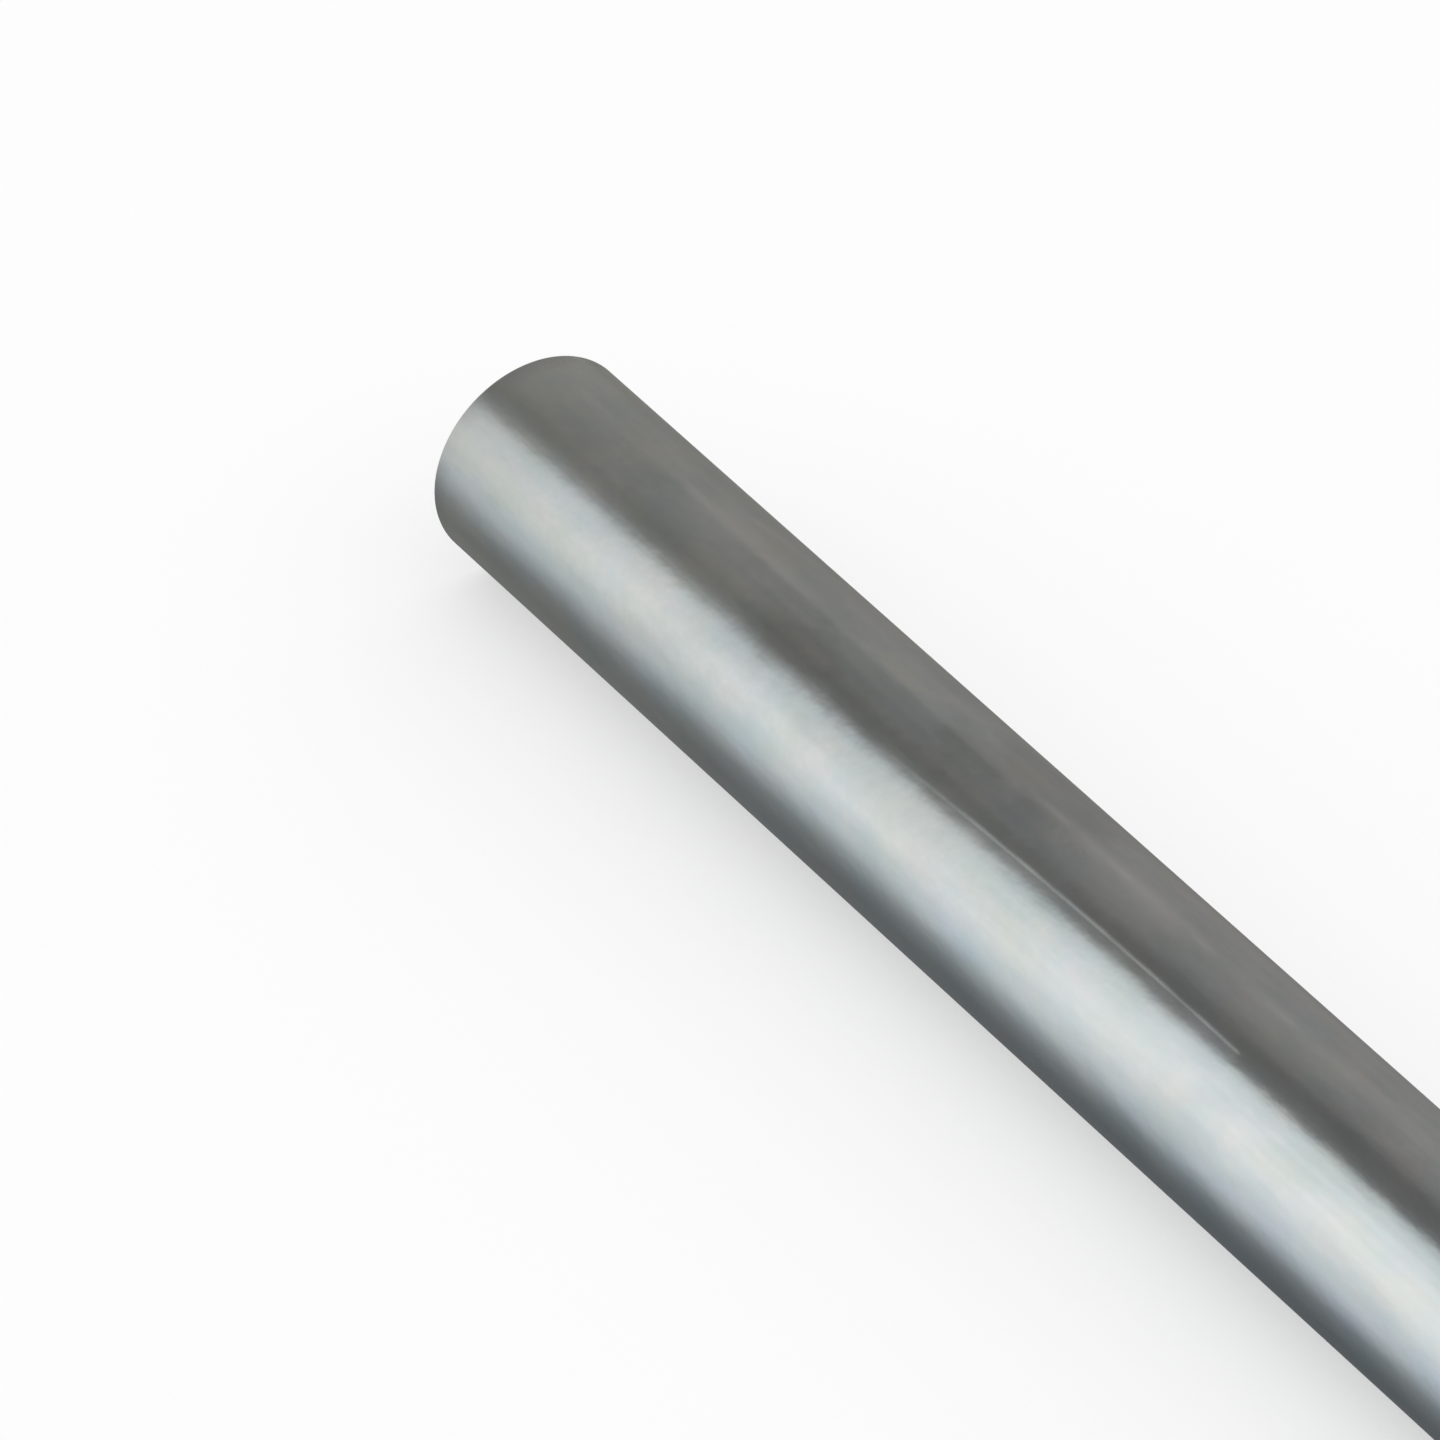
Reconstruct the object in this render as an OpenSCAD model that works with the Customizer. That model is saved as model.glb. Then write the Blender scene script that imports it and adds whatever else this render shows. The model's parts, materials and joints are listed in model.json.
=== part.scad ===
// Chrome plated round steel rod, cut square to a stock length.
// It lies on its side along X, with the floor at Z = 0 and mid-length at X = 0.

/* [Rod] */
// Diameter of the ground and plated barrel
rod_d = 25; // [6:0.5:100]
// Length between the two end faces
rod_length = 500; // [100:10:3000]

/* [Ends] */
// Size of the 45 degree chamfer that breaks the edge of each end
end_chamfer = 0.5; // [0.1:0.1:2]

/* [Hidden] */
$fn = 96;

// Bright plated steel
chrome_colour = [0.74, 0.77, 0.77];

barrel_r = rod_d / 2;
end_face_r = barrel_r - end_chamfer;
half_length = rod_length / 2;
half_barrel = half_length - end_chamfer;

// Half of the rod's lengthwise section: radius across, length up
module rod_section() {
    polygon([
        [0, -half_length],
        [end_face_r, -half_length],
        [barrel_r, -half_barrel],
        [barrel_r, half_barrel],
        [end_face_r, half_length],
        [0, half_length]
    ]);
}

module rod() {
    color(chrome_colour)
        translate([0, 0, barrel_r])
            rotate([0, 90, 0])
                rotate_extrude()
                    rod_section();
}

rod();
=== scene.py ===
"""Looks of a chrome plated steel rod that lies on a pale studio floor.

Sizes are in metres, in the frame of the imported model: the rod lies along X with its middle
over the origin, and its lowest line is on the floor. "Near" is the -Y side, where the camera is.
"""
import json
import math

import bpy
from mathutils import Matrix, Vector


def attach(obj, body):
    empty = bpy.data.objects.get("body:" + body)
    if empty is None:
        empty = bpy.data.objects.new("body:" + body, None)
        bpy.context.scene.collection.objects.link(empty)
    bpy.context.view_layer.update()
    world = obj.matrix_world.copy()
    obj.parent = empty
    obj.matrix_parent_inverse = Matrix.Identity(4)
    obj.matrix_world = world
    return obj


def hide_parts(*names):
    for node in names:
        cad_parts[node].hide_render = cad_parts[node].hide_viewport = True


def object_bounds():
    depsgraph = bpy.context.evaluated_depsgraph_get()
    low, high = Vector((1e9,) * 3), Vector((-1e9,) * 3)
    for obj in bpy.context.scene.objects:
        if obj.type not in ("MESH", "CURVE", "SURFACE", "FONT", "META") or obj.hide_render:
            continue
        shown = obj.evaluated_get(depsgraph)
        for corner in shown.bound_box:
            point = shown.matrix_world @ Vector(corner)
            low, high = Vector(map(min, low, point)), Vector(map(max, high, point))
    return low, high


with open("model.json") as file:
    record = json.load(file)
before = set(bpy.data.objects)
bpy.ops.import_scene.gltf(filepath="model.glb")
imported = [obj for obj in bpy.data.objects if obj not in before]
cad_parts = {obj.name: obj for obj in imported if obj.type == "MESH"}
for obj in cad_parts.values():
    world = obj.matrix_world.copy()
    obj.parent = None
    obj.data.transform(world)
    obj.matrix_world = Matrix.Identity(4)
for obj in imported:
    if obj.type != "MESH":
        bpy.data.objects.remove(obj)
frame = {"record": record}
cad_low, cad_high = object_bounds()

MM = 0.001

# The rod's sizes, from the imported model
barrel = next(mount for mount in frame["record"]["mounts"] if mount["name"] == "barrel")
ROD_R = barrel["dims"]["r_mm"] * MM
AXIS_Z = barrel["pos_m"][2]
HALF_LENGTH = cad_high.x
HALF_BARREL = barrel["dims"]["length_mm"] * MM / 2
CHAMFER = HALF_LENGTH - HALF_BARREL
END_FACE_R = ROD_R - CHAMFER

# The camera, fitted to the rod's outline in the photograph
CAMERA_AIM = Vector((-0.1977, -0.0092, AXIS_Z))
CAMERA_AZIMUTH = math.radians(57.23)
CAMERA_ELEVATION = math.radians(35.87)
CAMERA_DISTANCE = 1.5223
CAMERA_LENS_MM = 360.6
CAMERA_SENSOR_MM = 36
CAMERA_CLIP = (0.05, 200)


def link(obj):
    bpy.context.scene.collection.objects.link(obj)
    return obj


def mesh_object(name, vertices, faces):
    mesh = bpy.data.meshes.new(name)
    mesh.from_pydata(vertices, [], faces)
    mesh.update()
    return link(bpy.data.objects.new(name, mesh))


def add_camera():
    level = math.cos(CAMERA_ELEVATION)
    back = Vector((
        math.sin(CAMERA_AZIMUTH) * level,
        -math.cos(CAMERA_AZIMUTH) * level,
        math.sin(CAMERA_ELEVATION),
    ))
    data = bpy.data.cameras.new("camera")
    data.lens = CAMERA_LENS_MM
    data.sensor_width = CAMERA_SENSOR_MM
    data.clip_start, data.clip_end = CAMERA_CLIP
    camera = link(bpy.data.objects.new("camera", data))
    camera.location = CAMERA_AIM + CAMERA_DISTANCE * back
    camera.rotation_euler = (-back).to_track_quat("-Z", "Y").to_euler()
    bpy.context.scene.camera = camera


# Node trees, and the places of the Mix node's sockets when it mixes colours
MIX_SHARE, MIX_FIRST, MIX_SECOND = 0, 6, 7
MIX_RESULT = 2


def new_tree(material):
    """An emptied node tree, and its output's surface socket."""
    material.use_nodes = True
    tree = material.node_tree
    tree.nodes.clear()
    output = tree.nodes.new("ShaderNodeOutputMaterial")
    return tree, output.inputs["Surface"]


def fill(tree, socket, value):
    """Links a socket to another one, or sets it to a value."""
    if isinstance(value, bpy.types.NodeSocket):
        tree.links.new(value, socket)
    else:
        socket.default_value = value


def node(tree, kind, inputs=None, **settings):
    """A node with its settings, and each input linked or set."""
    made = tree.nodes.new("ShaderNode" + kind)
    for name, value in settings.items():
        setattr(made, name, value)
    for name, value in (inputs or {}).items():
        fill(tree, made.inputs[name], value)
    return made


def maths(tree, operation, *values):
    return node(tree, "Math", dict(enumerate(values)), operation=operation).outputs[0]


def total(tree, *values):
    """The sum of several sockets."""
    result = values[0]
    for value in values[1:]:
        result = maths(tree, "ADD", result, value)
    return result


def length(tree, first, second):
    """The length of a vector with two parts."""
    vector = node(tree, "CombineXYZ", {0: first, 1: second}).outputs[0]
    return node(tree, "VectorMath", {0: vector}, operation="LENGTH").outputs["Value"]


def span(tree, value, low, high, start=0.0, end=1.0):
    """A value from start to end, held there outside low to high."""
    return node(tree, "MapRange", {
        "Value": value,
        "From Min": low,
        "From Max": high,
        "To Min": start,
        "To Max": end,
    }).outputs["Result"]


def window(tree, value, low, high, blur):
    """1 from low to high and 0 outside, with soft edges."""
    begun = span(tree, value, low - blur, low + blur)
    not_ended = span(tree, value, high - blur, high + blur, 1, 0)
    return maths(tree, "MULTIPLY", begun, not_ended)


def mix_colour(tree, share, first, second):
    inputs = {MIX_SHARE: share, MIX_FIRST: first, MIX_SECOND: second}
    return node(tree, "Mix", inputs, data_type="RGBA").outputs[MIX_RESULT]


def ramp(tree, value, stops):
    """A smooth ramp over a value: each stop is a place, a level and a tint."""
    low, high = stops[0][0], stops[-1][0]
    made = node(tree, "ValToRGB", {"Fac": span(tree, value, low, high)})
    made.color_ramp.interpolation = "B_SPLINE"
    elements = made.color_ramp.elements
    elements.remove(elements[-1])
    for place, level, tint in stops:
        position = (place - low) / (high - low)
        element = elements[0] if place == low else elements.new(position)
        element.position = position
        element.color = (*(level * part for part in tint), 1)
    return made.outputs["Color"]


def noise(tree, vector, scale, detail):
    return node(tree, "TexNoise", {"Vector": vector, "Scale": scale, "Detail": detail}).outputs["Fac"]


def over_axis(tree, place):
    """X and Y of a place, and its height over the rod's axis."""
    split = node(tree, "SeparateXYZ", {0: place}).outputs
    return split["X"], split["Y"], maths(tree, "SUBTRACT", split["Z"], AXIS_Z)


# The rod's mesh. The facing ridges are shaded flat, and what lies past them is shaded smooth.
SEGMENTS = 256
BARREL_RINGS = 50
EDGE_ROUNDING = 0.12 * MM
EDGE_STEPS = 4
FACING_PITCH = 0.4 * MM
FACING_DEPTH = 0.009 * MM
FACING_RIDGES = round(END_FACE_R / FACING_PITCH) - 1
SMOOTH_FROM_R = (FACING_RIDGES + 0.5) * FACING_PITCH
PLATED, BARE = 0, 1

# The rod's texture map: the barrel as one strip, with the two ends as discs above it
MAP_NAME = "OFBake"
MAP_MARGIN = 0.008
STRIP_TOP = 0.75
DISC_MIDDLES = (0.25, 0.75)


def rounded(before, corner, after):
    """Points along an arc that rounds the corner of a profile."""
    one, other = (before - corner).normalized(), (after - corner).normalized()
    half = one.angle(other) / 2
    centre = corner + (one + other).normalized() * EDGE_ROUNDING / math.sin(half)
    reach = EDGE_ROUNDING / math.tan(half)
    start = (corner + one * reach - centre).normalized()
    end = (corner + other * reach - centre).normalized()
    return [centre + start.slerp(end, i / EDGE_STEPS) * EDGE_ROUNDING for i in range(EDGE_STEPS + 1)]


def end_profile():
    """Distance in from the end face and radius, from the middle of the face to the barrel."""
    points = []
    for i in range(1, 2 * FACING_RIDGES + 1):
        points.append(Vector((FACING_DEPTH * (i % 2), FACING_PITCH * i / 2)))
    middle = Vector((0, 0))
    face_rim = Vector((0, END_FACE_R))
    barrel_rim = Vector((CHAMFER, ROD_R))
    barrel_middle = Vector((HALF_LENGTH, ROD_R))
    points += rounded(middle, face_rim, barrel_rim)
    points += rounded(face_rim, barrel_rim, barrel_middle)
    return points


def rod_rings():
    """X and radius of every ring of the rod's mesh, from one end to the other."""
    end = end_profile()
    rings = [(-HALF_LENGTH + depth, radius) for depth, radius in end]
    start = HALF_LENGTH - end[-1].x
    rings += [(start * (2 * i / BARREL_RINGS - 1), ROD_R) for i in range(1, BARREL_RINGS)]
    rings += [(HALF_LENGTH - depth, radius) for depth, radius in reversed(end)]
    return rings


def ring_point(x, radius, step):
    """A point on a ring, which starts at the rod's lowest line and goes round by the far side."""
    turn = math.tau * step / SEGMENTS
    return x, radius * math.sin(turn), AXIS_Z - radius * math.cos(turn)


def on_strip(x, step):
    """Place on the texture map of a point of the barrel."""
    along = (x + HALF_LENGTH) / (2 * HALF_LENGTH)
    return (
        MAP_MARGIN + (1 - 2 * MAP_MARGIN) * along,
        MAP_MARGIN + (STRIP_TOP - 2 * MAP_MARGIN) * step / SEGMENTS,
    )


def on_disc(x, y, z):
    """Place on the texture map of a point of an end."""
    scale = ((1 - STRIP_TOP) / 2 - MAP_MARGIN) / ROD_R
    return (
        DISC_MIDDLES[x > 0] + scale * y,
        (1 + STRIP_TOP) / 2 + scale * (z - AXIS_Z),
    )


def ring_faces(rings, vertices):
    """Faces from ring to ring: their corners, material, smoothness and places on the texture map."""
    for i, ((x, radius), (next_x, next_radius)) in enumerate(zip(rings, rings[1:])):
        here, there = i * SEGMENTS, (i + 1) * SEGMENTS
        material = BARE if min(radius, next_radius) < ROD_R else PLATED
        smooth = max(radius, next_radius) > SMOOTH_FROM_R
        for step in range(SEGMENTS):
            after = (step + 1) % SEGMENTS
            corners = here + step, there + step, there + after, here + after
            if material == BARE:
                places = [on_disc(*vertices[corner]) for corner in corners]
            else:
                unrolled_corners = (x, step), (next_x, step), (next_x, step + 1), (x, step + 1)
                places = [on_strip(*corner) for corner in unrolled_corners]
            yield corners, material, smooth, places


def middle_faces(vertices):
    """Triangles that close the end faces round their middles, which are the last two vertices."""
    middle = len(vertices) - 2
    last_middle = middle + 1
    last_ring = middle - SEGMENTS
    for step in range(SEGMENTS):
        after = (step + 1) % SEGMENTS
        for corners in ((middle, step, after), (last_middle, last_ring + after, last_ring + step)):
            yield corners, BARE, False, [on_disc(*vertices[corner]) for corner in corners]


def make_rod():
    rings = rod_rings()
    vertices = [ring_point(x, radius, step) for x, radius in rings for step in range(SEGMENTS)]
    vertices += [(-HALF_LENGTH, 0, AXIS_Z), (HALF_LENGTH, 0, AXIS_Z)]
    parts = [*ring_faces(rings, vertices), *middle_faces(vertices)]
    faces, materials, smooth, places = zip(*parts)
    rod = mesh_object("chrome_rod", vertices, faces)
    rod.data.materials.append(chrome())
    rod.data.materials.append(cut_steel())
    rod.data.polygons.foreach_set("material_index", materials)
    rod.data.polygons.foreach_set("use_smooth", smooth)
    texture_map = rod.data.uv_layers.new(name=MAP_NAME)
    texture_map.uv.foreach_set("vector", [part for face in places for place in face for part in place])
    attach(rod, "root")
    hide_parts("rod")


# The plating's colours
GREENISH = (0.650, 0.732, 0.709, 1)
ROSY = (0.799, 0.781, 0.780, 1)
BLUISH = (0.672, 0.732, 0.765, 1)
OLIVE = (0.771, 0.781, 0.707, 1)
GRIME_COLOUR = (0.46, 0.475, 0.465, 1)
SCUFF_COLOUR = (0.95, 0.95, 0.93, 1)
WORN_COLOUR = (0.55, 0.555, 0.545, 1)
TINT_BALANCE = 0.5
GRIME_SHARE = 0.2

# The plating's patterns of noise: length along the rod, width across it, detail, seed, and the
# strength of each finer layer as a share of the one before
HAZE = (30 * MM, 9 * MM, 3, 0, 0.5)
SMUDGES = (9 * MM, 5 * MM, 4, 1, 0.5)
RIPPLES = (2.8 * MM, 1.8 * MM, 2, 2, 0.5)
STREAKS = (90 * MM, 0.6 * MM, 3, 3, 0.5)
TARNISH = (9 * MM, 5 * MM, 3, 4, 0.65)
BLOOM = (12 * MM, 6 * MM, 3, 5, 0.65)
MARK_BREAKS = (6 * MM, 6 * MM, 2, 6, 0.5)
WAVES = (9 * MM, 5 * MM, 1, 7, 0.5)
GRIME = (24 * MM, 6 * MM, 4, 8, 0.6)

# The values of its noise between which each effect comes up
TINT_RANGE = (0.35, 0.65)
GRIME_RANGE = (0.44, 0.6)
WEAR_RANGE = (0.35, 0.65)
HAZE_RANGE = (0.3, 0.7)
SMUDGE_RANGE = (0.4, 0.7)
STREAK_RANGE = (0.45, 0.75)
MARK_RANGE = (0.35, 0.6)
SCUFF_RANGE = (0.45, 0.62)
NOISE_MIDDLE = 0.5

# The polished plating's roughness, and what each effect adds to it
POLISH = 0.055
HAZE_DULLING = 0.05
SMUDGE_DULLING = 0.05
STREAK_DULLING = 0.03
WEAR_DULLING = 0.1
END_DULLING = 0.105
END_DULLING_FROM = 80 * MM
RIM_WEAR = 2.5 * MM

# The plating's relief
WAVE_DEPTH = 0.07 * MM
RIPPLE_DEPTH = 0.022 * MM
STREAK_DEPTH = 0.003 * MM

# The fine mark along the barrel, and the rubbed plating beside it. The mark's arc is measured from
# the top line and is negative on the near side.
MARK_START_X = -173 * MM
MARK_END_X = -108 * MM
MARK_CREST_X = -118 * MM
MARK_ARC = -4.88 * MM
MARK_BEND = 0.46
MARK_HALF_WIDTH = 0.32 * MM
MARK_CORE = 0.3
MARK_DULLING = 0.22
MARK_LEAST_SHARE = 0.5
MARK_SIDE = 1.0 * MM
MARK_SIDE_DULLING = (0.04, 0.14)
MARK_FADE_IN = 25 * MM
MARK_FADE_OUT = 1 * MM

# The faint broken line of scuffs along the barrel, on the far side of the top line
SCUFF_START_X = -158 * MM
SCUFF_END_X = -100 * MM
SCUFF_FADE = 12 * MM
SCUFF_ARC = 1.8 * MM
SCUFF_HALF_WIDTH = 0.7 * MM
SCUFF_SHARE = 0.34

# Dull smudges and wiped spots: middle along the rod and round it, half-length and half-width in
# millimetres, then the share and the colour
SPOTS = [
    (-157, 3.5, 13, 4.5, 0.42, GRIME_COLOUR),
    (-189, -4.5, 9, 3, 0.42, GRIME_COLOUR),
    (-166, -9, 15, 3.2, 0.25, GRIME_COLOUR),
    (-138, -1, 10, 4, 0.3, SCUFF_COLOUR),
    (-209, 0, 11, 3.5, 0.3, SCUFF_COLOUR),
]
SPOT_RAGGEDNESS = 2.5
SPOT_BLUR = 0.4


def patches(tree, place, pattern):
    """Noise in patches that are drawn out along the rod."""
    along, across, detail, seed, fineness = pattern
    sizes = (along, across, across)
    scaled = node(tree, "VectorMath", {0: place, 1: sizes}, operation="DIVIDE").outputs[0]
    return node(
        tree, "TexNoise",
        {"Vector": scaled, "W": seed, "Scale": 1, "Detail": detail, "Roughness": fineness},
        noise_dimensions="4D",
    ).outputs["Fac"]


def unrolled(tree, place):
    """X along the rod, and the arc round it from its top line, which is positive on the far side."""
    x, y, rise = over_axis(tree, place)
    turn = maths(tree, "ARCTAN2", y, rise)
    return x, maths(tree, "MULTIPLY", turn, ROD_R)


def draw_mark(tree, place, along, arc):
    """What the fine mark and the rubbed plating on its near side add to the roughness."""
    run = maths(tree, "SUBTRACT", along, MARK_CREST_X)
    line = maths(tree, "MULTIPLY_ADD", maths(tree, "MULTIPLY", run, run), -MARK_BEND, MARK_ARC)
    above = maths(tree, "SUBTRACT", arc, line)
    off_line = maths(tree, "ABSOLUTE", above)
    scratch = span(tree, off_line, MARK_CORE * MARK_HALF_WIDTH, MARK_HALF_WIDTH, MARK_DULLING, 0)
    breaks = span(tree, patches(tree, place, MARK_BREAKS), *MARK_RANGE, MARK_LEAST_SHARE, 1)
    scratch = maths(tree, "MULTIPLY", scratch, breaks)
    on_side = maths(tree, "LESS_THAN", above, 0)
    rubbed = maths(tree, "MULTIPLY", on_side, span(tree, above, -MARK_SIDE, 0, *MARK_SIDE_DULLING))
    begun = span(tree, along, MARK_START_X, MARK_START_X + MARK_FADE_IN)
    not_ended = span(tree, along, MARK_END_X, MARK_END_X + MARK_FADE_OUT, 1, 0)
    shown = maths(tree, "MULTIPLY", begun, not_ended)
    return maths(tree, "MULTIPLY", shown, maths(tree, "ADD", scratch, rubbed))


def scuffs(tree, place, along, arc):
    """How much the broken line of scuffs whitens the plating."""
    aside = maths(tree, "ABSOLUTE", maths(tree, "SUBTRACT", arc, SCUFF_ARC))
    streak = span(tree, aside, 0, SCUFF_HALF_WIDTH, SCUFF_SHARE, 0)
    dashes = span(tree, patches(tree, place, MARK_BREAKS), *SCUFF_RANGE)
    shown = window(tree, along, SCUFF_START_X, SCUFF_END_X, SCUFF_FADE)
    return maths(tree, "MULTIPLY", streak, maths(tree, "MULTIPLY", dashes, shown))


def spot(tree, along, arc, ragged, shape):
    """1 inside a ragged oval on the barrel, and 0 outside."""
    middle_x, middle_arc, half_length, half_width = (size * MM for size in shape)
    lengthwise = maths(tree, "DIVIDE", maths(tree, "SUBTRACT", along, middle_x), half_length)
    round_rod = maths(tree, "DIVIDE", maths(tree, "SUBTRACT", arc, middle_arc), half_width)
    distance = maths(tree, "ADD", length(tree, lengthwise, round_rod), ragged)
    return span(tree, distance, 1 - SPOT_BLUR, 1 + SPOT_BLUR, 1, 0)


def rim_wear(tree, along, smudges):
    """Patchy wear of the plating along both rims."""
    rim = span(tree, maths(tree, "ABSOLUTE", along), HALF_BARREL - RIM_WEAR, HALF_BARREL)
    return maths(tree, "MULTIPLY", rim, span(tree, smudges, *WEAR_RANGE))


def plating_colour(tree, place, along, arc, smudges, wear):
    """Cloudy tints, under grime, spots, scuffs and the worn rims."""
    tarnish = span(tree, patches(tree, place, TARNISH), *TINT_RANGE)
    bloom = span(tree, patches(tree, place, BLOOM), *TINT_RANGE)
    first_tint = mix_colour(tree, tarnish, GREENISH, ROSY)
    second_tint = mix_colour(tree, bloom, BLUISH, OLIVE)
    colour = mix_colour(tree, TINT_BALANCE, first_tint, second_tint)
    grime = span(tree, patches(tree, place, GRIME), *GRIME_RANGE, 0, GRIME_SHARE)
    colour = mix_colour(tree, grime, colour, GRIME_COLOUR)
    ragged = maths(tree, "MULTIPLY", maths(tree, "SUBTRACT", smudges, NOISE_MIDDLE), SPOT_RAGGEDNESS)
    for *shape, share, shade in SPOTS:
        inside = spot(tree, along, arc, ragged, shape)
        colour = mix_colour(tree, maths(tree, "MULTIPLY", inside, share), colour, shade)
    colour = mix_colour(tree, scuffs(tree, place, along, arc), colour, SCUFF_COLOUR)
    return mix_colour(tree, wear, colour, WORN_COLOUR)


def plating_roughness(tree, place, along, arc, smudges, streaks, wear):
    """The polish, dulled by haze, smudges, streaks and the mark, towards the ends and at the rims."""
    haze = patches(tree, place, HAZE)
    from_middle = maths(tree, "ABSOLUTE", along)
    return total(
        tree,
        span(tree, haze, *HAZE_RANGE, POLISH, POLISH + HAZE_DULLING),
        span(tree, smudges, *SMUDGE_RANGE, 0, SMUDGE_DULLING),
        span(tree, streaks, *STREAK_RANGE, 0, STREAK_DULLING),
        span(tree, from_middle, END_DULLING_FROM, HALF_LENGTH, 0, END_DULLING),
        draw_mark(tree, place, along, arc),
        maths(tree, "MULTIPLY", wear, WEAR_DULLING),
    )


def plating_relief(tree, place, streaks):
    """The normal, bent by slight waves, ripples and streaks."""
    waves, ripples = patches(tree, place, WAVES), patches(tree, place, RIPPLES)
    normal = node(tree, "Bump", {"Height": waves, "Distance": WAVE_DEPTH, "Strength": 1}).outputs[0]
    for height, depth in ((ripples, RIPPLE_DEPTH), (streaks, STREAK_DEPTH)):
        bump = node(tree, "Bump", {"Height": height, "Distance": depth, "Strength": 1, "Normal": normal})
        normal = bump.outputs[0]
    return normal


def chrome():
    """Polished plating of the barrel."""
    material = bpy.data.materials.new("chrome")
    tree, surface = new_tree(material)
    place = node(tree, "TexCoord").outputs["Object"]
    along, arc = unrolled(tree, place)
    smudges, streaks = patches(tree, place, SMUDGES), patches(tree, place, STREAKS)
    wear = rim_wear(tree, along, smudges)
    shader = node(tree, "BsdfPrincipled", {
        "Base Color": plating_colour(tree, place, along, arc, smudges, wear),
        "Metallic": 1,
        "Roughness": plating_roughness(tree, place, along, arc, smudges, streaks, wear),
        "Normal": plating_relief(tree, place, streaks),
    })
    tree.links.new(shader.outputs[0], surface)
    return material


# The cut ends
STEEL_DARK = (0.42, 0.41, 0.40, 1)
STEEL_PALE = (0.56, 0.55, 0.53, 1)
TOOL_RING_PITCH = 0.11 * MM
TOOL_RING_DEPTH = 0.006 * MM
TOOL_RING_DETAIL = 2
TOOL_RING_RANGE = (0.3, 0.7)
TOOL_RING_ROUGHNESS = (0.24, 0.36)
CLOUD_SCALE = 160
CLOUD_DETAIL = 3
CLOUD_RANGE = (0.3, 0.7)
CLOUD_DULLING = 0.08
TURNED_SHINE = 0.6
RUBBED_STEEL = (0.72, 0.71, 0.69, 1)
RUBBED_WIDTH = 0.18 * MM
RUBBED_RANGE = (0.35, 0.55)
RUBBED_POLISH = -0.12


def chamfer_edges(tree, radius):
    """1 on both edges of the chamfer, and 0 away from them."""
    off_middle = maths(tree, "ABSOLUTE", maths(tree, "SUBTRACT", radius, ROD_R - CHAMFER / 2))
    off_edge = maths(tree, "ABSOLUTE", maths(tree, "SUBTRACT", off_middle, CHAMFER / 2))
    return span(tree, off_edge, 0, RUBBED_WIDTH, 1, 0)


def cut_steel():
    """Bare steel of the faced and chamfered ends, with the fine rings of the cutting tool."""
    material = bpy.data.materials.new("cut_steel")
    tree, surface = new_tree(material)
    place = node(tree, "TexCoord").outputs["Object"]
    _, y, rise = over_axis(tree, place)
    radius = length(tree, y, rise)
    ring = node(tree, "CombineXYZ", {0: maths(tree, "DIVIDE", radius, TOOL_RING_PITCH)}).outputs[0]
    rings = noise(tree, ring, 1, TOOL_RING_DETAIL)
    cloud = noise(tree, place, CLOUD_SCALE, CLOUD_DETAIL)
    rubbed = maths(tree, "MULTIPLY", chamfer_edges(tree, radius), span(tree, cloud, *RUBBED_RANGE))
    colour = mix_colour(tree, cloud, STEEL_DARK, STEEL_PALE)
    roughness = total(
        tree,
        span(tree, rings, *TOOL_RING_RANGE, *TOOL_RING_ROUGHNESS),
        span(tree, cloud, *CLOUD_RANGE, 0, CLOUD_DULLING),
        maths(tree, "MULTIPLY", rubbed, RUBBED_POLISH),
    )
    bump = node(tree, "Bump", {"Height": rings, "Distance": TOOL_RING_DEPTH, "Strength": 1})
    round_axis = node(tree, "Tangent", direction_type="RADIAL", axis="X")
    shader = node(tree, "BsdfPrincipled", {
        "Base Color": mix_colour(tree, rubbed, colour, RUBBED_STEEL),
        "Metallic": 1,
        "Roughness": roughness,
        "Anisotropic": TURNED_SHINE,
        "Tangent": round_axis.outputs[0],
        "Normal": bump.outputs[0],
    })
    tree.links.new(shader.outputs[0], surface)
    return material


# The floor and the world
FLOOR_HALF_SIDE = 30
FLOOR_COLOUR = (0.97, 0.97, 0.97, 1)
FLOOR_GLOW = 0.5
WHITE = (1, 1, 1, 1)


def make_floor():
    """A white floor that keeps a light shadow of the rod."""
    side = FLOOR_HALF_SIDE
    corners = [(-side, -side, 0), (side, -side, 0), (side, side, 0), (-side, side, 0)]
    floor = mesh_object("floor", corners, [(0, 1, 2, 3)])
    material = bpy.data.materials.new("floor")
    material.cycles.emission_sampling = "NONE"
    tree, surface = new_tree(material)
    path = node(tree, "LightPath").outputs
    seen = maths(tree, "MAXIMUM", path["Is Camera Ray"], path["Is Glossy Ray"])
    seen = maths(tree, "MAXIMUM", seen, path["Is Transmission Ray"])
    matt = node(tree, "BsdfDiffuse", {"Color": FLOOR_COLOUR})
    white = node(tree, "Emission", {"Color": WHITE})
    share = maths(tree, "MULTIPLY", seen, FLOOR_GLOW)
    mixed = node(tree, "MixShader", {0: share, 1: matt.outputs[0], 2: white.outputs[0]})
    tree.links.new(mixed.outputs[0], surface)
    floor.data.materials.append(material)


def make_world():
    world = bpy.data.worlds.new("studio")
    bpy.context.scene.world = world
    world.use_nodes = True
    background = world.node_tree.nodes["Background"]
    background.inputs["Color"].default_value = WHITE
    background.inputs["Strength"].default_value = 1


# The tent and the card under the rod, which only the metal shows
# Under the rod the card is dark: a painted shadow of the rod on the floor, which only the metal shows
TENT_R = 0.8
TENT_HALF_LENGTH = 2
TENT_STEPS = 120
CARD_LIFT = 0.3 * MM
FOLD_SCALE = 9
FOLD_DETAIL = 2
FOLD_RANGE = (0.3, 0.7)
FOLD_LEVELS = (0.96, 1.04)

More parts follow.
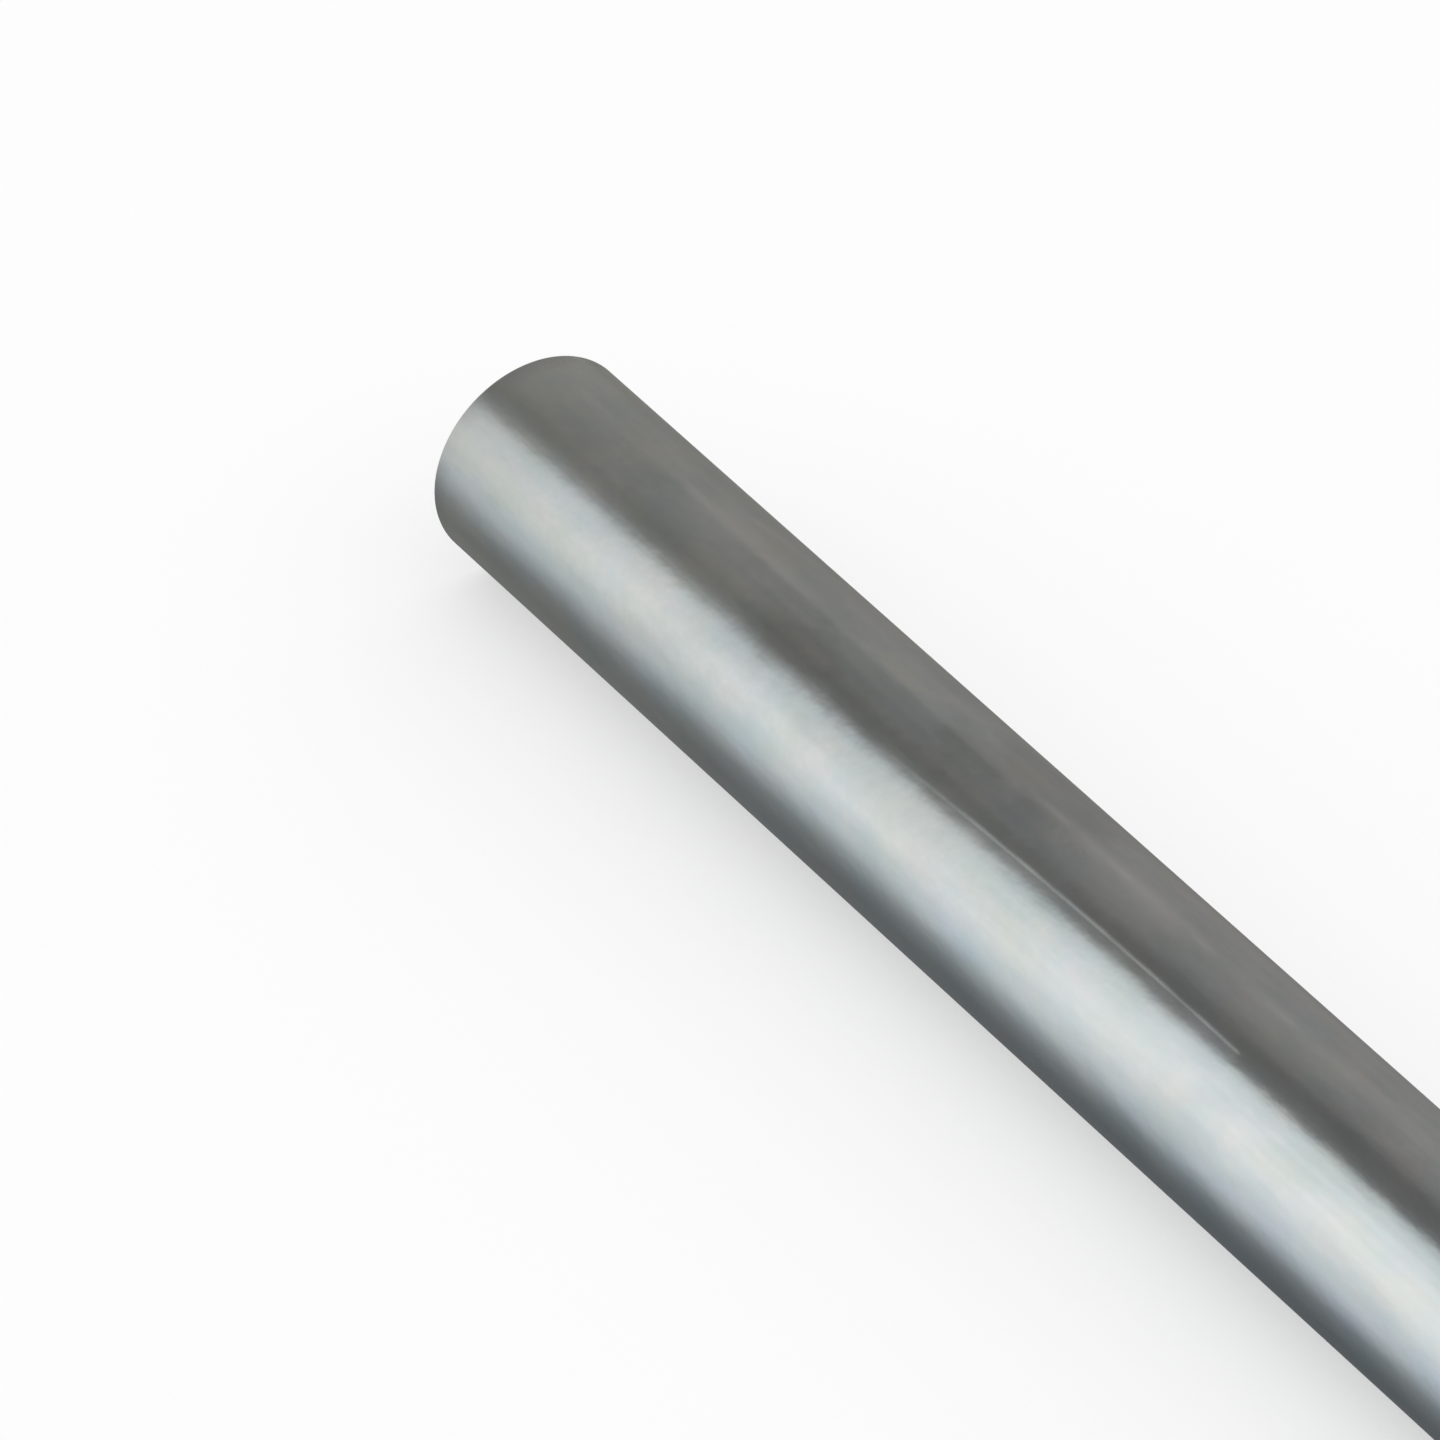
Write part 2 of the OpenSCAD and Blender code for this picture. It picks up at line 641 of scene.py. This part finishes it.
# Brightness round the rod's axis: degrees up from the near horizon, level and tint
NEUTRAL = (1, 1, 1)
WARM = (1.035, 1.0, 0.992)
COOLISH = (0.97, 1.0, 1.02)
COOL = (0.95, 1.0, 1.04)
BLUE = (0.92, 1.0, 1.09)
# Below the near horizon and past 180 degrees the stops fall on the card, and darken towards the rod's
# underside as its painted shadow
SURROUND_STOPS = [
    (-90, 0.115, BLUE),
    (-44, 0.11, BLUE),
    (-30, 0.21, BLUE),
    (-21, 0.53, BLUE),
    (-15, 0.70, BLUE),
    (-7, 0.81, COOL),
    (0, 0.88, COOLISH),
    (13, 1.0, NEUTRAL),
    (26, 1.0, NEUTRAL),
    (42, 0.93, COOLISH),
    (60, 0.82, COOL),
    (67, 0.61, COOLISH),
    (73, 0.14, NEUTRAL),
    (96, 0.13, WARM),
    (104, 0.195, WARM),
    (122, 0.245, WARM),
    (142, 0.272, WARM),
    (150, 0.286, WARM),
    (158, 0.262, WARM),
    (188, 0.26, WARM),
    (205, 0.19, WARM),
    (270, 0.12, NEUTRAL),
]
LOWEST_ANGLE, HIGHEST_ANGLE = SURROUND_STOPS[0][0], SURROUND_STOPS[-1][0]

# Where the picture's edge cuts the rod, and how far a reflected ray runs along the rod for each
# metre that it runs across it
PICTURE_EDGE_X = -0.065
VIEW_ALONG = math.sin(CAMERA_AZIMUTH) * math.cos(CAMERA_ELEVATION)
VIEW_SLANT = VIEW_ALONG / math.sqrt(1 - VIEW_ALONG ** 2)

# Towards the rod's far end the pale band narrows and everything fades to grey, by the first share
# in the middle of the band and by the second from its edge
BAND_MIDDLE = 20
BAND_EDGE = 70
BAND_NARROWING = 0.19
FADE_GREY = (0.275, 0.265, 0.235, 1)
FADE_SHARES = (0.35, 0.48)
FADE_POWER = 1.5

# A dim patch on the grey side, next to the dark top
DIM_COLOUR = (0.165, 0.172, 0.172, 1)
DIM_SHARE = 0.95
DIM_ANGLES = (99, 134)
DIM_ANGLE_BLUR = 4
DIM_STRETCH = (-0.215, -0.118)
DIM_STRETCH_BLUR = 0.01

# Past the picture's edge the tent turns pale on both sides, and past the rod's ends the card is pale,
# where its painted shadow of the rod ends
TWO_SIDED_FROM = 0.02
TWO_SIDED_TO = 0.30
OPEN_FLOOR = (0.85, 0.86, 0.86, 1)
OPEN_FLOOR_FROM = 0.006
OPEN_FLOOR_TO = 0.02
OPEN_FLOOR_REACH = 0.16


def make_surround():
    """A half-round tent along the rod, with closed ends and the card as its flat side."""
    vertices, faces = [], []
    count = TENT_STEPS + 1
    for i in range(count):
        turn = math.pi * i / TENT_STEPS
        for x in (-TENT_HALF_LENGTH, TENT_HALF_LENGTH):
            vertices.append((x, -TENT_R * math.cos(turn), CARD_LIFT + TENT_R * math.sin(turn)))
    for i in range(count):
        j = (i + 1) % count
        faces.append((2 * i, 2 * i + 1, 2 * j + 1, 2 * j))
    faces += [tuple(range(0, 2 * count, 2)), tuple(range(1, 2 * count, 2))]
    tent = mesh_object("light_tent", vertices, faces)
    tent.visible_camera = False
    tent.visible_diffuse = False
    tent.visible_shadow = False
    tent.visible_transmission = False
    tent.visible_volume_scatter = False
    tent.data.materials.append(surround())


def one_sided(tree, angle, shown_at):
    """Pale near side, dark top and grey far side, which fade towards the rod's far end."""
    far_end = span(tree, shown_at, -HALF_LENGTH, PICTURE_EDGE_X, 1, 0)
    shift = maths(tree, "MULTIPLY", far_end, BAND_NARROWING)
    narrowed = maths(tree, "MULTIPLY_ADD", maths(tree, "MINIMUM", angle, BAND_EDGE), shift, angle)
    colour = ramp(tree, narrowed, SURROUND_STOPS)
    off_middle = maths(tree, "ABSOLUTE", maths(tree, "SUBTRACT", angle, BAND_MIDDLE))
    faded = span(tree, off_middle, 0, BAND_EDGE - BAND_MIDDLE, *FADE_SHARES)
    fade = maths(tree, "MULTIPLY", faded, maths(tree, "POWER", far_end, FADE_POWER))
    colour = mix_colour(tree, fade, colour, FADE_GREY)
    dim_stretch = window(tree, shown_at, *DIM_STRETCH, DIM_STRETCH_BLUR)
    dim_angles = window(tree, angle, *DIM_ANGLES, DIM_ANGLE_BLUR)
    dim = maths(tree, "MULTIPLY", dim_stretch, dim_angles)
    return mix_colour(tree, maths(tree, "MULTIPLY", dim, DIM_SHARE), colour, DIM_COLOUR)


def open_floor(tree, x, aside, rise, reach):
    """1 on the card near the rod's axis past both of its ends, where the painted shadow of the rod ends,
    and 0 elsewhere.
    """
    beside = maths(tree, "MULTIPLY_ADD", aside, VIEW_SLANT, x)
    before = span(tree, beside, -HALF_LENGTH - OPEN_FLOOR_TO, -HALF_LENGTH - OPEN_FLOOR_FROM, 1, 0)
    past = span(tree, x, HALF_LENGTH + OPEN_FLOOR_FROM, HALF_LENGTH + OPEN_FLOOR_TO)
    near_axis = span(tree, reach, OPEN_FLOOR_REACH / 2, OPEN_FLOOR_REACH, 1, 0)
    on_floor = maths(tree, "MULTIPLY", near_axis, maths(tree, "LESS_THAN", rise, 0))
    return maths(tree, "MULTIPLY", on_floor, maths(tree, "ADD", before, past))


def surround():
    """The tent's light: one-sided in the picture, and pale on both sides past the picture's edge."""
    material = bpy.data.materials.new("surround")
    material.cycles.emission_sampling = "NONE"
    tree, surface = new_tree(material)
    place = node(tree, "NewGeometry").outputs["Position"]
    x, y, rise = over_axis(tree, place)
    aside = maths(tree, "ABSOLUTE", y)
    reach = length(tree, y, rise)
    shown_at = maths(tree, "MULTIPLY_ADD", reach, VIEW_SLANT, x)
    angle = maths(tree, "DEGREES", maths(tree, "ARCTAN2", rise, maths(tree, "MULTIPLY", y, -1)))
    angle = maths(tree, "WRAP", angle, HIGHEST_ANGLE, LOWEST_ANGLE)
    folded = maths(tree, "DEGREES", maths(tree, "ARCTAN2", rise, aside))
    two_sided = ramp(tree, folded, SURROUND_STOPS)
    turned = span(tree, shown_at, TWO_SIDED_FROM, TWO_SIDED_TO)
    colour = mix_colour(tree, turned, one_sided(tree, angle, shown_at), two_sided)
    colour = mix_colour(tree, open_floor(tree, x, aside, rise, reach), colour, OPEN_FLOOR)
    folds = noise(tree, place, FOLD_SCALE, FOLD_DETAIL)
    strength = span(tree, folds, *FOLD_RANGE, *FOLD_LEVELS)
    glow = node(tree, "Emission", {"Color": colour, "Strength": strength})
    tree.links.new(glow.outputs[0], surface)
    return material


add_camera()
make_rod()
make_floor()
make_world()
make_surround()
bpy.context.scene.view_settings.view_transform = "Standard"
